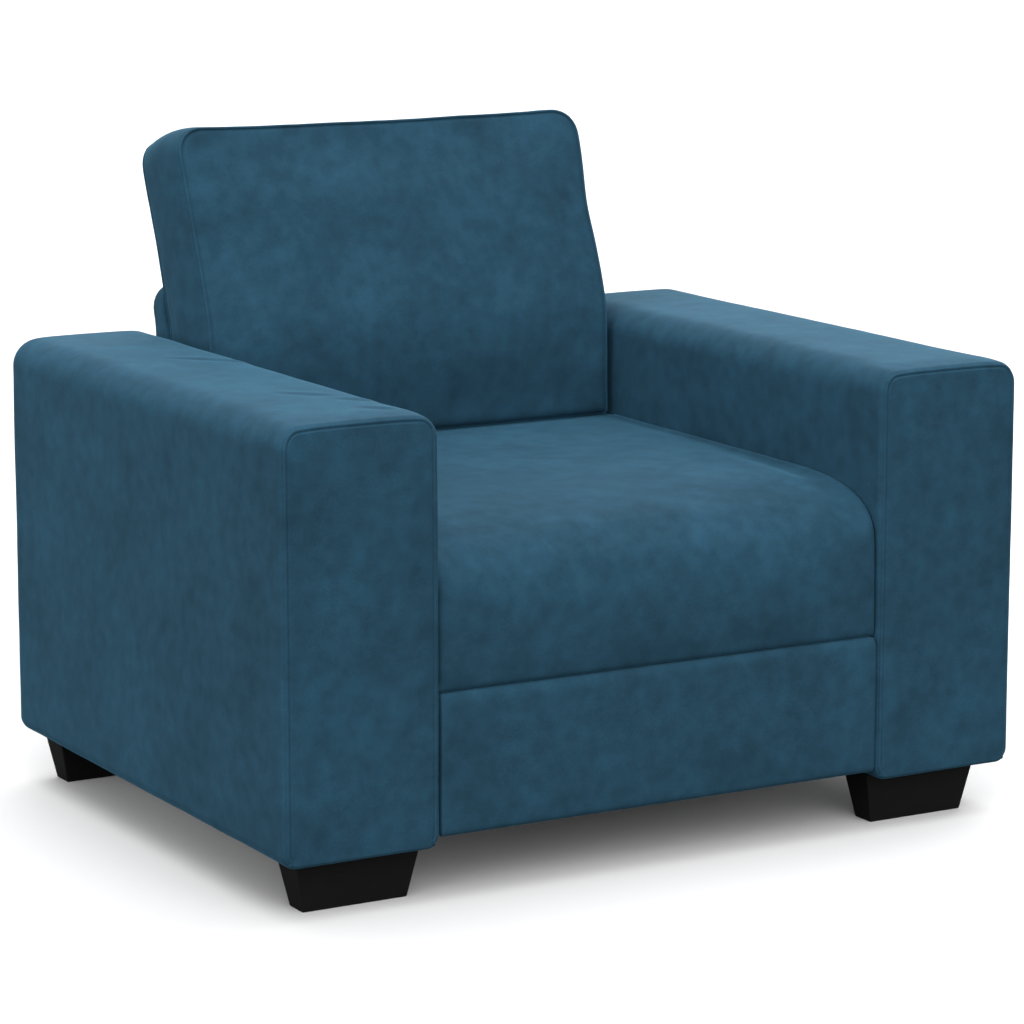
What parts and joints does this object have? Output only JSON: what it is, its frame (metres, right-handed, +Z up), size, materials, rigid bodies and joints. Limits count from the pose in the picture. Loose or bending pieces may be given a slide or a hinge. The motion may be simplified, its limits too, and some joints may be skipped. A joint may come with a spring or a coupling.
{
  "type": "upholstered armchair",
  "caption": "Wide armchair in velvet with square arms, a fixed sprung seat with a rolled front, a loose boxed back cushion and tapered block feet.",
  "frame": {"origin": "middle of the footprint of the chair's bounding box, on the floor", "axes": "+Z up, -Y to the front where a sitter's legs are, +X to the right as seen from the front, across the seat"},
  "size_m": [1, 0.8148, 0.828],
  "materials": {
    "velvet": "matte",
    "foam": "matte",
    "board": "matte",
    "steel": "satin",
    "foot_plastic": "matte",
    "lining": "matte",
    "webbing": "matte"
  },
  "bodies": {
    "chair": {"foot_front_left": "foot_plastic", "foot_front_right": "foot_plastic", "foot_rear_left": "foot_plastic", "foot_rear_right": "foot_plastic", "foot_bolt_front_left": "steel", "foot_bolt_front_right": "steel", "foot_bolt_rear_left": "steel", "foot_bolt_rear_right": "steel", "arm_left_inner_board": "board", "arm_left_outer_board": "board", "arm_left_top_board": "board", "arm_left_front_board": "board", "arm_left_rear_board": "board", "arm_left_base_board": "board", "arm_left_foam": "foam", "arm_left_cover": "velvet", "arm_left_front_panel": "velvet", "arm_right_inner_board": "board", "arm_right_outer_board": "board", "arm_right_top_board": "board", "arm_right_front_board": "board", "arm_right_rear_board": "board", "arm_right_base_board": "board", "arm_right_foam": "foam", "arm_right_cover": "velvet", "arm_right_front_panel": "velvet", "arm_bolt_front_left": "steel", "arm_bolt_front_right": "steel", "arm_bolt_rear_left": "steel", "arm_bolt_rear_right": "steel", "back_bolt_left": "steel", "back_bolt_right": "steel", "seat_front_rail": "board", "seat_rear_rail": "board", "seat_rail_left": "board", "seat_rail_right": "board", "spring_strip_front": "steel", "spring_strip_rear": "steel", "seat_spring_1": "steel", "seat_spring_2": "steel", "seat_spring_3": "steel", "seat_spring_4": "steel", "seat_foam": "foam", "seat_cover": "velvet", "border_cover": "velvet", "border_pad": "foam", "dust_cover": "lining", "back_stile_left": "board", "back_stile_right": "board", "back_top_rail": "board", "back_bottom_rail": "board", "back_webbing_left": "webbing", "back_webbing_right": "webbing", "back_pad": "foam", "back_rear_board": "board", "back_cover": "velvet"},
    "back_cushion": {"cushion_cover": "velvet", "cushion_filling": "foam", "cushion_zip": "webbing"},
    "zip_pull": {"zip_slider": "steel"}
  },
  "joints": [
    {"name": "cushion_lift", "type": "slide", "parent": "chair", "child": "back_cushion", "axis": [0, 0, 1], "range_m": [0, 0.3]},
    {"name": "zip_slide", "type": "slide", "parent": "back_cushion", "child": "zip_pull", "axis": [1, 0, 0], "range_m": [0, 0.45]}
  ]
}
